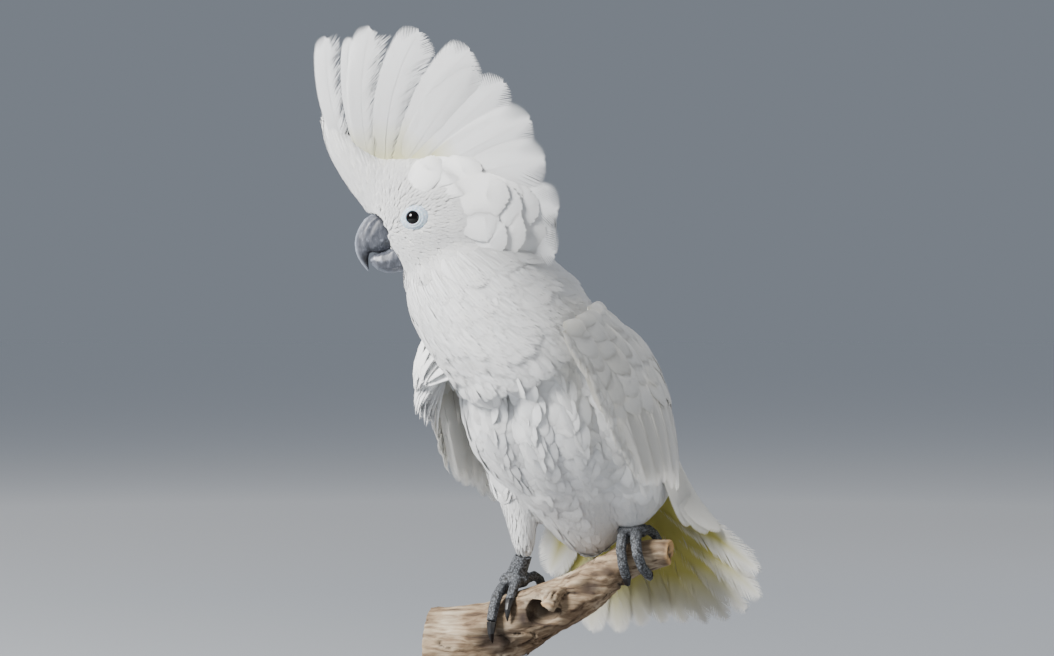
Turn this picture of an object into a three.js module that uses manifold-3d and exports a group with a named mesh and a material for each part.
// A white umbrella cockatoo with its crest raised, life size, gripping a cut length of driftwood
// on a plain display stand. Units are millimetres, +Z is up, the breast faces -Y and the bird's
// left side faces +X. The origin is the middle of the underside of the stand's base.

import * as THREE from "three";
import { mergeVertices } from "three/addons/utils/BufferGeometryUtils.js";
import Module from "manifold-3d";

const wasm = await Module();
wasm.setup();

// ---- driving dimensions -------------------------------------------------------------------
const BODY_HEIGHT = 256; // middle of the trunk above the floor
const GAP = 0.3; // clearance between touching pieces
const HEAD_AT = [-35, -62, BODY_HEIGHT + 120]; // middle of the head
const HEAD_TURN = -50; // degrees about +Z: the head looks over the bird's right side
const PLATE = 0.9; // thickness of a big feather
const TAIL_ROOT = [0, 49, BODY_HEIGHT - 40];
const TAIL_DROP = 62; // degrees below the horizontal
const EYE_RADIUS = 6.6;
const PERCH_HEADING = 22.5; // degrees from +X
const BASE = { wide: 236, deep: 190, thick: 16, corner: 26 };
const ROD_RADIUS = 5;

// ---- materials ----------------------------------------------------------------------------
const finish = (color, roughness, metalness = 0) =>
  new THREE.MeshStandardMaterial({ color, roughness, metalness });
const WHITE = finish(0xf2f1ee, 0.85);
const SOFT_WHITE = finish(0xecebe8, 0.9);
const HORN = finish(0x3b3f46, 0.6);
const SKIN = finish(0x4a4d52, 0.8);
const EYE = finish(0x0b0a0a, 0.08);
const WOOD = finish(0xa58a69, 0.8);
const BASE_WOOD = finish(0x4a3526, 0.5);
const STEEL = finish(0xb8babd, 0.3, 1);

// ---- geometry helpers ---------------------------------------------------------------------
const vec = (x, y, z) => new THREE.Vector3(x, y, z);
const rad = THREE.MathUtils.degToRad;
const mix = THREE.MathUtils.lerp;

// Value at t (0 to 1) of a smooth curve through evenly spaced numbers.
function smooth(values, t) {
  const last = values.length - 1;
  const at = Math.min(Math.max(t, 0), 1) * last;
  const i = Math.min(Math.floor(at), last - 1);
  const s = at - i;
  const pick = (k) => values[Math.min(Math.max(k, 0), last)];
  const [a, b, c, d] = [pick(i - 1), pick(i), pick(i + 1), pick(i + 2)];
  const bend = 2 * a - 5 * b + 4 * c - d;
  return 0.5 * (2 * b + (c - a) * s + bend * s * s + (3 * (b - c) + d - a) * s ** 3);
}

// Each field of a list of sections, smoothed at t.
function sectionAt(sections, t) {
  const made = {};
  for (const key of Object.keys(sections[0])) {
    made[key] = smooth(
      sections.map((s) => s[key]),
      t,
    );
  }
  return made;
}

// Closed surface through rings of points that all have the same even count. The ends are
// closed by strips from side to side, which also suits a thin bowed ring.
function skinned(rings) {
  const sides = rings[0].length;
  const faces = [];
  for (let i = 0; i + 1 < rings.length; i++) {
    for (let j = 0; j < sides; j++) {
      const a = i * sides + j;
      const b = i * sides + ((j + 1) % sides);
      faces.push(a, b, b + sides, a, b + sides, a + sides);
    }
  }
  const last = (rings.length - 1) * sides;
  for (let j = 0; j < sides / 2 - 1; j++) {
    const [a, b, c, d] = [j, j + 1, sides - 2 - j, sides - 1 - j];
    faces.push(c, b, a, d, c, a);
    faces.push(last + a, last + b, last + c, last + a, last + c, last + d);
  }
  const geometry = new THREE.BufferGeometry().setFromPoints(rings.flat());
  geometry.setIndex(faces);
  return geometry;
}

// A solid for booleans. A surface that comes out inside out is turned round.
function solid(geometry) {
  const bare = geometry.clone();
  bare.deleteAttribute("normal");
  bare.deleteAttribute("uv");
  const merged = mergeVertices(bare, 1e-4);
  const build = (triVerts) =>
    new wasm.Manifold(
      new wasm.Mesh({
        numProp: 3,
        vertProperties: merged.attributes.position.array,
        triVerts,
      }),
    );
  const forward = Uint32Array.from(merged.index.array);
  const made = build(forward);
  return made.volume() > 0 ? made : build(forward.reverse());
}

function geometryOf(made) {
  const mesh = made.getMesh();
  const geometry = new THREE.BufferGeometry();
  const stride = mesh.numProp;
  const places = new Float32Array(mesh.numVert * 3);
  for (let i = 0; i < mesh.numVert; i++) {
    places.set(mesh.vertProperties.subarray(i * stride, i * stride + 3), i * 3);
  }
  geometry.setAttribute("position", new THREE.BufferAttribute(places, 3));
  geometry.setIndex(new THREE.BufferAttribute(Uint32Array.from(mesh.triVerts), 1));
  geometry.computeVertexNormals();
  return geometry;
}

const joined = (solids) => solids.reduce((sum, next) => sum.add(next));
const cut = (made, ...others) => others.reduce((left, other) => left.subtract(other), made);

// The largest single body of a solid, without crumbs that a cut leaves.
function mainBody(made) {
  const bodies = made.decompose().sort((a, b) => b.volume() - a.volume());
  return bodies[0];
}

function node(name, made, material) {
  const mesh = new THREE.Mesh(geometryOf(made), material);
  mesh.name = name;
  return mesh;
}

// ---- loft of flesh ------------------------------------------------------------------------
// A section is an egg: x, y, z is its middle, wide its half width, front and back its half
// depths, turn its heading about +Z and tilt how far its front edge dips, both in degrees.
function eggRing(s, sides, grow, ruffle = 0) {
  const turn = rad(s.turn ?? 0);
  const tilt = rad(s.tilt ?? 0);
  const side = vec(Math.cos(turn), Math.sin(turn), 0);
  const ahead = vec(Math.sin(turn), -Math.cos(turn), 0).multiplyScalar(Math.cos(tilt));
  ahead.z = -Math.sin(tilt);
  return Array.from({ length: sides }, (_, j) => {
    const angle = (2 * Math.PI * j) / sides;
    const out = j % 2 ? ruffle : 0;
    const across = Math.cos(angle) * (s.wide + grow + out);
    const depth = Math.sin(angle) >= 0 ? s.front : s.back;
    return vec(s.x, s.y, s.z)
      .addScaledVector(side, across)
      .addScaledVector(ahead, Math.sin(angle) * (depth + grow + out));
  });
}

function fleshLoft(sections, rows, sides, grow = 0) {
  const spine = Array.from({ length: rows }, (_, i) => sectionAt(sections, i / (rows - 1)));
  const rings = spine.map((section) => eggRing(section, sides, grow));
  // A grown loft is also longer at both ends.
  for (const [end, next] of [
    [0, 1],
    [rows - 1, rows - 2],
  ]) {
    const away = vec(spine[end].x, spine[end].y, spine[end].z);
    away.sub(vec(spine[next].x, spine[next].y, spine[next].z)).normalize();
    for (const point of rings[end]) point.addScaledVector(away, grow);
  }
  return skinned(rings);
}

// ---- feathers -----------------------------------------------------------------------------
// A big feather as a thin closed vane: root and tip are its ends, via a point its shaft passes
// half way along, and face the side it shows. It is narrow at the root and round at the tip.
const VANE = { rows: 3, rootShare: 0.34, full: 0.62 };

function featherWidth(t) {
  if (t < VANE.full) return mix(VANE.rootShare, 1, Math.sin((t / VANE.full) * (Math.PI / 2)));
  const s = (t - VANE.full) / (1 - VANE.full);
  return Math.sqrt(Math.max(1 - s ** 2.4, 0.02));
}

function feather({ root, via, tip, face, width, rows = VANE.rows, grow = 0 }) {
  const control = via.clone().multiplyScalar(2).addScaledVector(root, -0.5);
  control.addScaledVector(tip, -0.5);
  const path = new THREE.QuadraticBezierCurve3(root, control, tip);
  const rings = [];
  for (let i = 0; i <= rows; i++) {
    const t = 1 - (1 - i / rows) ** 1.7;
    const along = path.getTangent(t);
    const at = path.getPoint(t).addScaledVector(along, i === rows ? grow : 0);
    const side = along.clone().cross(face).normalize();
    const up = side.clone().cross(along).normalize();
    const half = (width / 2) * featherWidth(t) + grow;
    const thin = PLATE / 2 + grow;
    const corner = (across, high) =>
      at.clone().addScaledVector(side, across).addScaledVector(up, high);
    rings.push([
      corner(-half, -thin),
      corner(half, -thin),
      corner(half, thin),
      corner(-half, thin),
    ]);
  }
  return solid(skinned(rings));
}

// ---- trunk, neck and thighs ---------------------------------------------------------------
// Level sections of the trunk from the vent feathers up to the shoulders: height above the
// trunk's middle, then how far it reaches ahead and behind of x = y = 0, and its half width.
const TRUNK_LEVELS = [
  { up: -106, ahead: -32, behind: 46, wide: 9 },
  { up: -94, ahead: -16, behind: 57, wide: 25 },
  { up: -68, ahead: 10, behind: 62, wide: 48 },
  { up: -42, ahead: 38, behind: 62, wide: 66 },
  { up: -14, ahead: 56, behind: 58, wide: 70 },
  { up: 12, ahead: 62, behind: 50, wide: 68 },
  { up: 38, ahead: 70, behind: 36, wide: 57 },
  { up: 60, ahead: 66, behind: 20, wide: 42 },
  { up: 76, ahead: 50, behind: 4, wide: 22 },
];
const trunkSections = TRUNK_LEVELS.map((level) => ({
  x: 0,
  y: (level.behind - level.ahead) / 2,
  z: BODY_HEIGHT + level.up,
  wide: level.wide,
  front: (level.ahead + level.behind) / 2,
  back: (level.ahead + level.behind) / 2,
}));
const trunkWith = (grow) => solid(fleshLoft(trunkSections, 11, 16, grow));

// Tilted sections of the neck, from the ragged hem over the breast up into the head.
const NECK_SECTIONS = [
  { x: -4, y: -32, z: 24, wide: 43, front: 36, back: 38, turn: -8, tilt: 30 },
  { x: -5, y: -32, z: 38, wide: 53, front: 46, back: 48, turn: -10, tilt: 30 },
  { x: -12, y: -38, z: 60, wide: 49, front: 55, back: 51, turn: -22, tilt: 26 },
  { x: -21, y: -47, z: 82, wide: 41, front: 56, back: 48, turn: -34, tilt: 18 },
  { x: -29, y: -55, z: 100, wide: 35, front: 46, back: 42, turn: -44, tilt: 10 },
  { x: -34, y: -61, z: 116, wide: 24, front: 30, back: 32, turn: -50, tilt: 0 },
];
const NECK_TIERS = 4; // rows of hackles, each with a ragged hem that stands off the row below
const NECK_SIDES = 20;
const HEM = 3.2;

function neckWith(grow) {
  const sections = NECK_SECTIONS.map((s) => ({ ...s, z: s.z + BODY_HEIGHT }));
  const rings = [eggRing(sectionAt(sections, 0), NECK_SIDES, grow)];
  for (let tier = 0; tier < NECK_TIERS; tier++) {
    const hem = 0.12 + (0.8 * tier) / NECK_TIERS;
    const top = hem + (0.8 / NECK_TIERS) * 0.9;
    rings.push(eggRing(sectionAt(sections, hem), NECK_SIDES, grow + 1, HEM));
    rings.push(eggRing(sectionAt(sections, top), NECK_SIDES, grow - 1.4));
  }
  rings.push(eggRing(sectionAt(sections, 1), NECK_SIDES, grow));
  return solid(skinned(rings));
}

// Feathered legs, from inside the flank down to the ankle.
const THIGHS = {
  left: [
    { x: 46, y: 24, z: -34, wide: 26, front: 30, back: 28 },
    { x: 47, y: 28, z: -54, wide: 25, front: 27, back: 25 },
    { x: 45, y: 32, z: -70, wide: 20, front: 20, back: 20 },
    { x: 42, y: 34, z: -80, wide: 12, front: 12, back: 12 },
    { x: 40, y: 34, z: -87, wide: 5, front: 5, back: 5 },
  ],
  right: [
    { x: -45, y: 12, z: -34, wide: 24, front: 26, back: 26 },
    { x: -42, y: 10, z: -58, wide: 17, front: 19, back: 19 },
    { x: -36, y: 6, z: -82, wide: 11, front: 12, back: 12 },
    { x: -31, y: 3, z: -98, wide: 8.5, front: 9, back: 9 },
    { x: -30, y: 2, z: -108, wide: 5, front: 5, back: 5 },
  ],
};
function thighWith(side, grow) {
  const sections = THIGHS[side].map((s) => ({ ...s, z: s.z + BODY_HEIGHT }));
  return solid(fleshLoft(sections, 7, 12, grow));
}

// ---- head ---------------------------------------------------------------------------------
// The head is built in its own axes: +X is its left, -Y ahead, +Z up. A slice is an upright
// oval at `ahead`, from `low` to `high`, with half width `wide`.
const HEAD_SLICES = [
  { ahead: -66, low: -14, high: 14, wide: 4 },
  { ahead: -57, low: -34, high: 34, wide: 13 },
  { ahead: -38, low: -46, high: 50, wide: 22 },
  { ahead: -16, low: -50, high: 56, wide: 27 },
  { ahead: 4, low: -52, high: 56, wide: 28 },
  { ahead: 22, low: -52, high: 54, wide: 26.5 },
  { ahead: 36, low: -36, high: 54, wide: 23 },
  { ahead: 50, low: -6, high: 51, wide: 17.5 },
  { ahead: 63, low: 13, high: 58, wide: 13 },
  { ahead: 75, low: 28, high: 69, wide: 10 },
  { ahead: 86, low: 46, high: 77, wide: 7 },
  { ahead: 94, low: 64, high: 82, wide: 3.5 },
];
const headSections = HEAD_SLICES.map((s) => ({
  x: 0,
  y: -s.ahead,
  z: (s.low + s.high) / 2,
  wide: s.wide,
  front: (s.high - s.low) / 2,
  back: (s.high - s.low) / 2,
  tilt: -90,
}));
const headWith = (grow) => solid(fleshLoft(headSections, 13, 14, grow));

// Bill halves: outer and inner edge of each section as [ahead, up], with a half width.
const UPPER_BILL = [
  { outAhead: 50, outUp: 14, inAhead: 38, inUp: -1, wide: 8.5 },
  { outAhead: 61.5, outUp: 12.6, inAhead: 43, inUp: -4.6, wide: 10.4 },
  { outAhead: 67.3, outUp: 6.4, inAhead: 48, inUp: -8.6, wide: 10 },
  { outAhead: 71, outUp: -1.2, inAhead: 53.5, inUp: -12.2, wide: 9 },
  { outAhead: 72, outUp: -8, inAhead: 58.6, inUp: -13, wide: 7.4 },
  { outAhead: 71, outUp: -14.4, inAhead: 61.8, inUp: -15, wide: 5.6 },
  { outAhead: 68.4, outUp: -20, inAhead: 62.3, inUp: -20, wide: 3.8 },
  { outAhead: 65.2, outUp: -24.2, inAhead: 62, inUp: -24, wide: 2.2 },
  { outAhead: 62.3, outUp: -27.4, inAhead: 61.7, inUp: -27.2, wide: 0.7 },
];
const LOWER_BILL = [
  { outAhead: 33, outUp: -26, inAhead: 34, inUp: -9.6, wide: 8 },
  { outAhead: 41, outUp: -28, inAhead: 41, inUp: -8.4, wide: 9.6 },
  { outAhead: 48, outUp: -28.6, inAhead: 47, inUp: -12, wide: 9.6 },
  { outAhead: 54, outUp: -27.4, inAhead: 53, inUp: -15.6, wide: 8.6 },
  { outAhead: 58.6, outUp: -24.2, inAhead: 57.6, inUp: -15.4, wide: 7 },
  { outAhead: 61, outUp: -20.6, inAhead: 60.8, inUp: -15.6, wide: 4.6 },
];
function billWith(outline, rows, grow = 0) {
  const sides = 10;
  const rings = Array.from({ length: rows }, (_, i) => {
    const s = sectionAt(outline, i / (rows - 1));
    const outer = vec(0, -s.outAhead, s.outUp);
    const inner = vec(0, -s.inAhead, s.inUp);
    const middle = outer.clone().add(inner).multiplyScalar(0.5);
    const high = outer.clone().sub(inner);
    const half = high.length() / 2 + grow;
    high.normalize();
    return Array.from({ length: sides }, (_, j) => {
      const angle = (2 * Math.PI * j) / sides;
      const blunt = Math.sign(Math.cos(angle)) * Math.abs(Math.cos(angle)) ** 0.8;
      return middle
        .clone()
        .addScaledVector(high, Math.sin(angle) * half)
        .add(vec(blunt * (s.wide + grow), 0, 0));
    });
  });
  return solid(skinned(rings));
}

const EYE_AT = { ahead: 29.6, up: 8.8, out: 19.6 };
function eyeWith(side, grow) {
  const ball = new THREE.SphereGeometry(EYE_RADIUS + grow, 10, 7);
  ball.translate(side * EYE_AT.out, -EYE_AT.ahead, EYE_AT.up);
  return solid(ball);
}

// Crest, one side: where each feather's root, middle and tip lie in the head's side view as
// [ahead, up], its width, and how far its tip stands out sideways.
const CREST = [
  { root: [70, 42], middle: [87, 84], tip: [91, 135], width: 18, out: 2 },
  { root: [66, 50], middle: [75, 88], tip: [75, 134], width: 11, out: 7 },
  { root: [60, 44], middle: [67, 88], tip: [62, 143], width: 25, out: 10 },
  { root: [53, 42], middle: [46, 92], tip: [29, 141], width: 29, out: 13 },
  { root: [46, 42], middle: [19, 90], tip: [-9, 124], width: 31, out: 16 },
];
// The mane behind it overlaps with no gaps, so each side is one sheet with a scalloped hem.
const MANE = [
  { root: [44, 42], tip: [-8, 112], out: 15 },
  { root: [36, 43], tip: [-31, 103], out: 14 },
  { root: [25, 43], tip: [-49, 77], out: 18 },
  { root: [12, 40], tip: [-60, 49], out: 20 },
  { root: [0, 30], tip: [-69, 14], out: 18 },
  { root: [-8, 10], tip: [-67, -16], out: 17 },
];
const MANE_NOTCH = 0.09; // depth of the notches as a share of a feather
// Short crown feathers that the long ones stand in, over the forehead and over the crown.
const CROWN = [
  { size: [10, 38, 10], rise: 33, ahead: 64, up: 60 },
  { size: [16, 36, 9], rise: 0, ahead: 20, up: 49 },
];

const headPlace = ([ahead, up], out) => vec(out, -ahead, up);

function crestFeather(at, side) {
  const root = headPlace(at.root, side * 4);
  const via = headPlace(at.middle, side * (mix(4, at.out, 0.5) + 2.5));
  const tip = headPlace(at.tip, side * at.out);
  return feather({ root, via, tip, face: vec(side, 0, 0), width: at.width });
}

function maneSheet(side) {
  const fields = MANE.map(({ root, tip, out }, k) => ({
    rootAhead: root[0],
    rootUp: root[1],
    tipAhead: tip[0],
    tipUp: tip[1],
    rootOut: 4 + 2.6 * k,
    tipOut: out,
  }));
  const steps = (MANE.length - 1) * 2;
  const rings = [];
  for (let k = 0; k <= steps; k++) {
    const at = sectionAt(fields, k / steps);
    const root = headPlace([at.rootAhead, at.rootUp], at.rootOut);
    const tip = headPlace([at.tipAhead, at.tipUp], at.tipOut);
    if (k % 2) tip.lerp(root, MANE_NOTCH);
    const middle = root.clone().lerp(tip, 0.55).add(vec(3, 0, 0));
    const inner = [root, middle, tip];
    const outer = inner.map((point) => point.clone().add(vec(PLATE, 0, 0))).reverse();
    rings.push([...inner, ...outer].map((point) => point.multiply(vec(side, 1, 1))));
  }
  return solid(skinned(rings));
}

function crestSolid() {
  const crown = CROWN.map(({ size, rise, ahead, up }) => {
    const tuft = new THREE.SphereGeometry(1, 10, 6);
    tuft.scale(...size);
    tuft.rotateX(rad(-rise));
    tuft.translate(0, -ahead, up);
    return solid(tuft);
  });
  const vanes = [1, -1].flatMap((side) => [
    maneSheet(side),
    ...CREST.map((at) => crestFeather(at, side)),
  ]);
  return cut(joined([...crown, ...vanes]), headWith(GAP));
}

// ---- wings --------------------------------------------------------------------------------
// The folded wing is a bowed sheet from its leading edge (wrist to last secondary) over its
// outer corner to its inner edge on the back, all measured from the trunk's middle on the left.
const LEADING = [
  [60, -68, 46],
  [73, -52, 10],
  [77, -34, -24],
  [81, -16, -53],
  [84, -2, -80],
];
const CORNER = [
  [31, 9, 61],
  [53, 29, 39],
  [71, 38, 0],
  [79, 37, -54],
  [82, 44, -84],
];
const INNER = [
  [22, 14, 56],
  [34, 40, 34],
  [42, 56, -2],
  [48, 61, -52],
  [54, 62, -82],
];
const WING_BOW = 12;
const WING_OUT = vec(0.9, -0.22, 0.36).normalize(); // the way the folded wing bulges
const WING_LIE = vec(0.1, 0.25, -1); // the way its feathers lie
const WING_PAD = 5; // half the thickness of the feathered arm
const WING_HEMS = [
  { from: 0.08, to: 0.33, tips: 5, lift: 5, depth: 0.05 },
  { from: 0.22, to: 0.53, tips: 6, lift: 3, depth: 0.06 },
  { from: 0.38, to: 0.77, tips: 7, lift: 0.6, depth: 0.05, droops: true },
];
const DROOP = { left: 0, right: 0.17 }; // how much further the last secondaries hang
const SHEET = 1.1; // thickness of a row of overlapping feathers

function wingPoint(down, across, lift = 0) {
  const read = (edge) =>
    vec(
      ...[0, 1, 2].map((axis) =>
        smooth(
          edge.map((p) => p[axis]),
          down,
        ),
      ),
    );
  const [lead, corner, inner] = [read(LEADING), read(CORNER), read(INNER)];
  const middle = lead.clone().lerp(corner, 0.5);
  middle.addScaledVector(WING_OUT, WING_BOW * (1 - 0.6 * down));
  const course = new THREE.CatmullRomCurve3([lead, middle, corner, inner]);
  const at = course.getPoint(across);
  const along = course.getTangent(across);
  const normal = WING_LIE.clone().cross(along).normalize();
  return at.addScaledVector(normal, lift).add(vec(0, 0, BODY_HEIGHT));
}

// The arm under the coverts, a bowed pad that thins towards the flight feathers.
function wingPad() {
  const rows = 5;
  const columns = 5;
  const rings = [];
  for (let i = 0; i < rows; i++) {
    const down = mix(0, 0.5, i / (rows - 1));
    const thick = WING_PAD * Math.sin(Math.PI * mix(0.22, 0.9, i / (rows - 1)));
    const edge = (j, sense) =>
      wingPoint(
        down,
        mix(0.03, 0.97, j / (columns - 1)),
        sense * thick * Math.sin((Math.PI * (j + 0.6)) / (columns + 0.2)),
      );
    const ring = [];
    for (let j = 0; j < columns; j++) ring.push(edge(j, 1));
    for (let j = columns - 1; j >= 0; j--) ring.push(edge(j, -1));
    rings.push(ring);
  }
  return solid(skinned(rings));
}

// One row of overlapping feathers as a sheet whose lower hem follows their round tips.
function wingRow({ from, to, tips, lift, depth, droops }, droop) {
  const steps = tips * 2;
  const rings = [];
  for (let k = 0; k <= steps; k++) {
    const across = k / steps;
    const notch = k % 2 ? 0 : depth;
    const hem = to - notch + 0.015 * Math.sin(k * 2.3) + (droops ? droop * across : 0);
    const high = lift + SHEET;
    rings.push([
      wingPoint(from, across, lift * 0.4),
      wingPoint(mix(from, hem, 0.55), across, lift),
      wingPoint(hem, across, lift * 0.8),
      wingPoint(hem, across, high * 0.8 + 0.2),
      wingPoint(mix(from, hem, 0.55), across, high),
      wingPoint(from, across, lift * 0.4 + SHEET),
    ]);
  }
  return solid(skinned(rings));
}

// The long primaries pass under the secondaries and end beside the tail.
const PRIMARIES = [
  { tip: [94, 68, -87], width: 16 },
  { tip: [86, 64, -89], width: 15 },
  { tip: [76, 56, -83], width: 15 },
];
const PRIMARY_ROOT = [76, 22, -14];
const PRIMARY_TURN = [80, 44, -60]; // where the folded primaries turn outwards
const PRIMARY_FACE = [0.8, -0.55, 0.25];

function primary({ tip, width }, k, grow) {
  const lower = (x, y, z) => vec(x - 0.5 * k, y - 2.5 * k, z + BODY_HEIGHT - k);
  return feather({
    root: lower(...PRIMARY_ROOT),
    via: lower(...PRIMARY_TURN),
    tip: vec(...tip).add(vec(0, 0, BODY_HEIGHT)),
    face: vec(...PRIMARY_FACE),
    width,
    rows: 4,
    grow,
  });
}

const primaries = (grow) => joined(PRIMARIES.map((each, k) => primary(each, k, grow)));

function wingSolid(droop) {
  return joined([wingPad(), ...WING_HEMS.map((row) => wingRow(row, droop)), primaries(0)]);
}

// ---- tail ---------------------------------------------------------------------------------
// A spread fan. Lengths run from the bird's right to its left; the middle feathers are on top.
const TAIL_FAN = { from: -39, to: 55, width: 32, layer: 1.1, spine: 9 };
const TAIL_LENGTHS = [126, 149, 160, 152, 142, 138, 139, 143, 147, 150, 152, 143];

function tailSolid() {
  const down = vec(0, Math.cos(rad(TAIL_DROP)), -Math.sin(rad(TAIL_DROP)));
  const under = vec(0, -Math.sin(rad(TAIL_DROP)), -Math.cos(rad(TAIL_DROP)));
  const vanes = TAIL_LENGTHS.map((length, k) => {
    const share = k / (TAIL_LENGTHS.length - 1);
    const angle = rad(mix(TAIL_FAN.from, TAIL_FAN.to, share));
    const out = down.clone().multiplyScalar(Math.cos(angle)).add(vec(Math.sin(angle), 0, 0));
    const layer = TAIL_FAN.layer * Math.abs(share - 0.5) * TAIL_LENGTHS.length;
    const root = vec(...TAIL_ROOT)
      .add(vec(mix(-TAIL_FAN.spine, TAIL_FAN.spine, share), 0, 0))
      .addScaledVector(under, 0.5 * layer);
    const tip = vec(...TAIL_ROOT)
      .addScaledVector(out, length)
      .addScaledVector(under, layer);
    const via = root.clone().lerp(tip, 0.5).addScaledVector(under, -3);
    return feather({ root, via, tip, face: under, width: TAIL_FAN.width });
  });
  const knob = new THREE.SphereGeometry(1, 10, 6);
  knob.scale(17, 9, 16);
  knob.translate(TAIL_ROOT[0], TAIL_ROOT[1] + 6, TAIL_ROOT[2] - 12);
  return joined([solid(knob), ...vanes]);
}

// ---- perch --------------------------------------------------------------------------------
// The branch runs along a line that passes under the left foot. Its middle height and radius
// are given at stations `along` that line, from the sawn end to the broken tip.
const PERCH_AT = [45, 36];
const PERCH_STATIONS = [
  { along: -152, up: -172, radius: 28 },
  { along: -128, up: -171.5, radius: 27.8 },
  { along: -104, up: -165.5, radius: 27 },
  { along: -80, up: -154, radius: 24.5 },
  { along: -56, up: -141, radius: 20.5 },
  { along: -40, up: -133, radius: 20.5 },
  { along: -24, up: -122, radius: 18.5 },
  { along: -8, up: -111, radius: 14.5 },
  { along: 8, up: -105, radius: 11.5 },
  { along: 25, up: -102.5, radius: 9.5 },
];
const perchLine = vec(Math.cos(rad(PERCH_HEADING)), Math.sin(rad(PERCH_HEADING)), 0);
const perchFront = vec(Math.sin(rad(PERCH_HEADING)), -Math.cos(rad(PERCH_HEADING)), 0);

function perchShare(along) {
  const stations = PERCH_STATIONS.map((s) => s.along);
  let low = 0;
  let high = 1;
  for (let k = 0; k < 24; k++) {
    const middle = (low + high) / 2;
    if (smooth(stations, middle) < along) low = middle;
    else high = middle;
  }
  return low;
}

// Bumps of the weathered surface, as a share of the radius.
function perchBumps(along, angle) {
  const burl = 0.1 * Math.exp(-(((along + 96) / 13) ** 2)) * Math.cos(angle - 2.6);
  return 1 + 0.04 * Math.sin(3 * angle + along / 17) + 0.03 * Math.sin(5 * angle - along / 9) + burl;
}

// Point of the perch at `along`, `angle` degrees round from the front over the top.
function perchPoint(along, angleDegrees, lift = 0) {
  const s = sectionAt(PERCH_STATIONS, perchShare(along));
  const angle = rad(angleDegrees);
  const radius = s.radius * perchBumps(along, angle) + lift;
  return vec(PERCH_AT[0], PERCH_AT[1], BODY_HEIGHT + s.up)
    .addScaledVector(perchLine, s.along)
    .addScaledVector(perchFront, Math.cos(angle) * radius)
    .add(vec(0, 0, Math.sin(angle) * radius));
}

// A short broken side branch, from inside the perch to its torn face.
const STUB = { along: -82, reach: 38, turn: 30, rise: 12, radius: 14, depth: 12 };
function stubWith(grow) {
  const base = perchPoint(STUB.along, 62, -STUB.depth);
  const heading = rad(PERCH_HEADING - STUB.turn);
  const direction = vec(Math.cos(heading), Math.sin(heading), Math.sin(rad(STUB.rise)));
  const side = vec(-direction.y, direction.x, 0).normalize();
  const rings = Array.from({ length: 5 }, (_, i) => {
    const middle = base.clone().addScaledVector(direction, (STUB.reach * i) / 4);
    return Array.from({ length: 12 }, (_, j) => {
      const angle = (2 * Math.PI * j) / 12;
      const ragged = i === 4 ? 2.2 * Math.sin(5 * angle + 1) : 0;
      const radius = STUB.radius * (1 - 0.07 * i) * (1 + 0.07 * Math.sin(3 * angle + i)) + grow;
      return middle
        .clone()
        .addScaledVector(direction, ragged)
        .addScaledVector(side, Math.cos(angle) * radius)
        .add(vec(0, 0, Math.sin(angle) * radius));
    });
  });
  return solid(skinned(rings));
}

function perchWith(grow) {
  const rows = 14;
  const sides = 14;
  const first = PERCH_STATIONS[0].along;
  const last = PERCH_STATIONS[PERCH_STATIONS.length - 1].along;
  const rings = Array.from({ length: rows }, (_, i) =>
    Array.from({ length: sides }, (_, j) =>
      perchPoint(mix(first, last, i / (rows - 1)), (360 * j) / sides, grow),
    ),
  );
  return solid(skinned(rings)).add(stubWith(grow));
}

// The rot hollow under the stub.
function perchHollow() {
  const hollow = new THREE.SphereGeometry(1, 8, 6);
  hollow.scale(13, 9, 10);
  hollow.rotateZ(rad(PERCH_HEADING));
  const at = perchPoint(-62, 0, 1);
  hollow.translate(at.x, at.y, at.z);
  return solid(hollow);
}

// ---- feet ---------------------------------------------------------------------------------
// Two toes reach over the front of the perch and two behind it. A toe runs round the perch from
// `start` to `end` degrees (0 is the front, 90 the top, 180 the back).
const FEET = {
  left: {
    along: -3,
    ankle: [40, 34, -86],
    lift: 5,
    toes: [
      { out: -6, start: 92, end: -36, radius: 4.5, spread: 5 },
      { out: 3, start: 84, end: -60, radius: 4.6, spread: 10 },
      { out: 6, start: 96, end: 172, radius: 4.2, spread: 12 },
      { out: -6, start: 100, end: 190, radius: 4.2, spread: -4 },
    ],
  },
  right: {
    along: -90,
    ankle: [-30, 2, -106],
    lift: 6,
    toes: [
      { out: -6, start: 92, end: 22, radius: 4.8, spread: -2 },
      { out: 5, start: 88, end: 44, radius: 4.4, spread: -2 },
      { out: -10, start: 98, end: 165, radius: 4.3, spread: -5 },
      { out: 10, start: 96, end: 160, radius: 4.2, spread: 5 },
    ],
  },
};
const CLAW_SWEEP = 31; // degrees round the perch from a claw's root to its tip
const CLAW_HOOK = 1.8; // how far its middle stands off the line from root to tip

function toePath(foot, toe) {
  const points = [perchPoint(foot.along, 90, foot.lift + 4)];
  const steps = 5;
  for (let i = 0; i <= steps; i++) {
    const t = i / steps;
    const angle = mix(toe.start, toe.end, t);
    const out = toe.out + toe.spread * t;
    const lift = toe.radius + 2.4 * Math.sin(Math.PI * Math.min(1, t * 1.3)) + 2.2 * (1 - t);
    points.push(perchPoint(foot.along + out, angle, lift));
  }
  return new THREE.CatmullRomCurve3(points, false, "centripetal");
}

function tube(path, radiusAt, rows, sides) {
  const frames = path.computeFrenetFrames(rows);
  const rings = Array.from({ length: rows + 1 }, (_, i) => {
    const at = path.getPointAt(i / rows);
    return Array.from({ length: sides }, (_, j) => {
      const angle = (2 * Math.PI * j) / sides;
      return at
        .clone()
        .addScaledVector(frames.normals[i], Math.cos(angle) * radiusAt(i / rows))
        .addScaledVector(frames.binormals[i], Math.sin(angle) * radiusAt(i / rows));
    });
  });
  return solid(skinned(rings));
}

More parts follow.
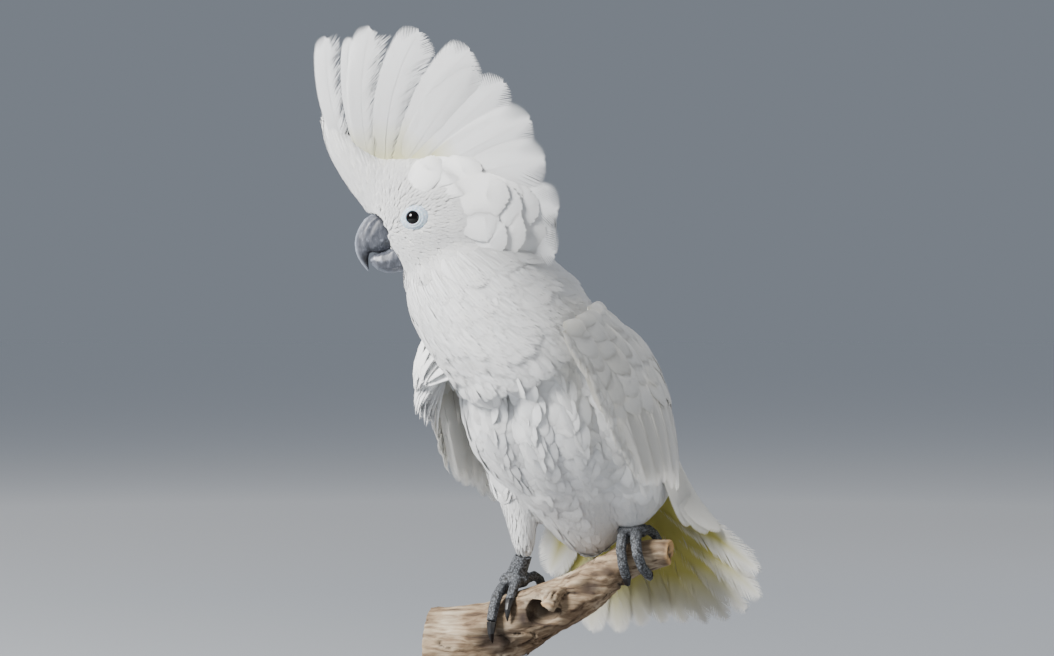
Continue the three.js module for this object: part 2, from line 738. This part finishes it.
function footSolid(foot) {
  const ankle = vec(foot.ankle[0], foot.ankle[1], foot.ankle[2] + BODY_HEIGHT);
  const palm = perchPoint(foot.along, 90, foot.lift + 4);
  const shank = new THREE.LineCurve3(ankle, palm);
  const pieces = [tube(shank, (t) => mix(6.2, 7.4, t), 2, 8)];
  const pad = new THREE.SphereGeometry(1, 8, 5);
  pad.scale(12, 9, 7);
  pad.rotateZ(rad(PERCH_HEADING));
  pad.translate(palm.x, palm.y, palm.z - 1);
  pieces.push(solid(pad));
  for (const toe of foot.toes) {
    pieces.push(tube(toePath(foot, toe), (t) => toe.radius * (1 - 0.2 * t), 5, 6));
  }
  return joined(pieces);
}

// A claw leaves the toe's end and hooks towards the perch.
function clawSolid(foot, toe, grow = 0) {
  const sense = Math.sign(toe.end - toe.start);
  const points = [0, 0.5, 1].map((t) => {
    const turn = toe.end + sense * CLAW_SWEEP * t;
    const lift = toe.radius * mix(0.85, 0.55, t) + (t === 0.5 ? CLAW_HOOK : 0);
    return perchPoint(foot.along + toe.out + toe.spread, turn, lift);
  });
  const path = new THREE.CatmullRomCurve3(points);
  return tube(path, (t) => toe.radius * 0.74 * (1 - t) ** 0.7 + 0.35 + grow, 4, 6);
}

// ---- stand --------------------------------------------------------------------------------
const ROD_PLACES = [-86, -130]; // along the perch

function standBase() {
  const shape = new THREE.Shape();
  const [w, d, c] = [BASE.wide / 2, BASE.deep / 2, BASE.corner];
  shape.moveTo(-w + c, -d);
  shape.lineTo(w - c, -d);
  shape.absarc(w - c, -d + c, c, -Math.PI / 2, 0);
  shape.lineTo(w, d - c);
  shape.absarc(w - c, d - c, c, 0, Math.PI / 2);
  shape.lineTo(-w + c, d);
  shape.absarc(-w + c, d - c, c, Math.PI / 2, Math.PI);
  shape.lineTo(-w, -d + c);
  shape.absarc(-w + c, -d + c, c, Math.PI, 1.5 * Math.PI);
  return solid(
    new THREE.ExtrudeGeometry(shape, { depth: BASE.thick, bevelEnabled: false, curveSegments: 5 }),
  );
}

function rodWith(along, grow) {
  const top = perchPoint(along, -90, -10);
  const height = top.z - BASE.thick - GAP + grow;
  const rod = new THREE.CylinderGeometry(ROD_RADIUS + grow, ROD_RADIUS + grow, height, 12);
  rod.rotateX(Math.PI / 2);
  rod.translate(top.x, top.y, BASE.thick + GAP + height / 2);
  return solid(rod);
}

// ---- assembly -----------------------------------------------------------------------------
function inBody(made) {
  const group = new THREE.Object3D();
  group.position.set(...HEAD_AT);
  group.rotation.z = rad(HEAD_TURN);
  group.updateMatrix();
  return made.transform(group.matrix.elements);
}
const mirrored = (made) => made.mirror([1, 0, 0]);

function buildHead() {
  const head = new THREE.Group();
  head.position.set(...HEAD_AT);
  head.rotation.z = rad(HEAD_TURN);
  const upper = billWith(UPPER_BILL, 11);
  const upperRoom = billWith(UPPER_BILL, 11, GAP);
  const lower = cut(billWith(LOWER_BILL, 7), upperRoom);
  const lowerRoom = billWith(LOWER_BILL, 7, GAP);
  const eyeRoom = [1, -1].map((side) => eyeWith(side, GAP));
  const flesh = cut(headWith(0), upperRoom, lowerRoom, ...eyeRoom);
  const crest = mainBody(cut(crestSolid(), upperRoom));
  head.add(node("head", mainBody(flesh), WHITE));
  head.add(node("bill_upper", upper, HORN));
  head.add(node("bill_lower", mainBody(lower), HORN));
  head.add(node("eye_left", eyeWith(1, 0), EYE));
  head.add(node("eye_right", eyeWith(-1, 0), EYE));
  head.add(node("crest", crest, WHITE));
  return { head, crest };
}

function buildBody(crest) {
  const body = new THREE.Group();
  const headRoom = inBody(headWith(GAP));
  const neckRoom = neckWith(GAP);
  const trunkRoom = trunkWith(GAP);
  const crestRoom = inBody(crest);
  body.add(node("neck", mainBody(cut(neckWith(0), headRoom, crestRoom)), WHITE));
  body.add(node("trunk", mainBody(cut(trunkWith(0), neckRoom)), SOFT_WHITE));
  for (const side of ["left", "right"]) {
    const thigh = mainBody(cut(thighWith(side, 0), trunkRoom));
    body.add(node("thigh_" + side, thigh, SOFT_WHITE));
  }
  const wings = { left: wingSolid(DROOP.left), right: mirrored(wingSolid(DROOP.right)) };
  for (const [side, wing] of Object.entries(wings)) {
    body.add(node("wing_" + side, mainBody(cut(wing, trunkRoom, neckRoom)), WHITE));
  }
  const thighRoom = ["left", "right"].map((side) => thighWith(side, GAP));
  const wingRoom = [primaries(GAP), mirrored(primaries(GAP))];
  const tail = cut(tailSolid(), trunkRoom, ...thighRoom, ...wingRoom);
  body.add(node("tail", mainBody(tail), WHITE));
  return body;
}

function buildFeet() {
  const feet = new THREE.Group();
  const perchRoom = perchWith(GAP);
  for (const [side, foot] of Object.entries(FEET)) {
    const thighRoom = thighWith(side, GAP);
    const claws = foot.toes.map((toe) => clawSolid(foot, toe));
    const clawRoom = foot.toes.map((toe) => clawSolid(foot, toe, GAP));
    const made = cut(footSolid(foot), thighRoom, trunkWith(GAP), perchRoom, ...clawRoom);
    feet.add(node("foot_" + side, mainBody(made), SKIN));
    claws.forEach((claw, k) => {
      feet.add(node(`claw_${side}_${k + 1}`, mainBody(cut(claw, perchRoom)), HORN));
    });
  }
  return feet;
}

function buildStand() {
  const stand = new THREE.Group();
  const rodRoom = ROD_PLACES.map((along) => rodWith(along, GAP));
  stand.add(node("perch", mainBody(cut(perchWith(0), perchHollow(), ...rodRoom)), WOOD));
  stand.add(node("stand_base", standBase(), BASE_WOOD));
  ROD_PLACES.forEach((along, k) => {
    stand.add(node(`stand_rod_${k + 1}`, rodWith(along, 0), STEEL));
  });
  return stand;
}

const cockatoo = new THREE.Group();
const { head, crest } = buildHead();
cockatoo.add(head, buildBody(crest), buildFeet(), buildStand());

export default cockatoo;
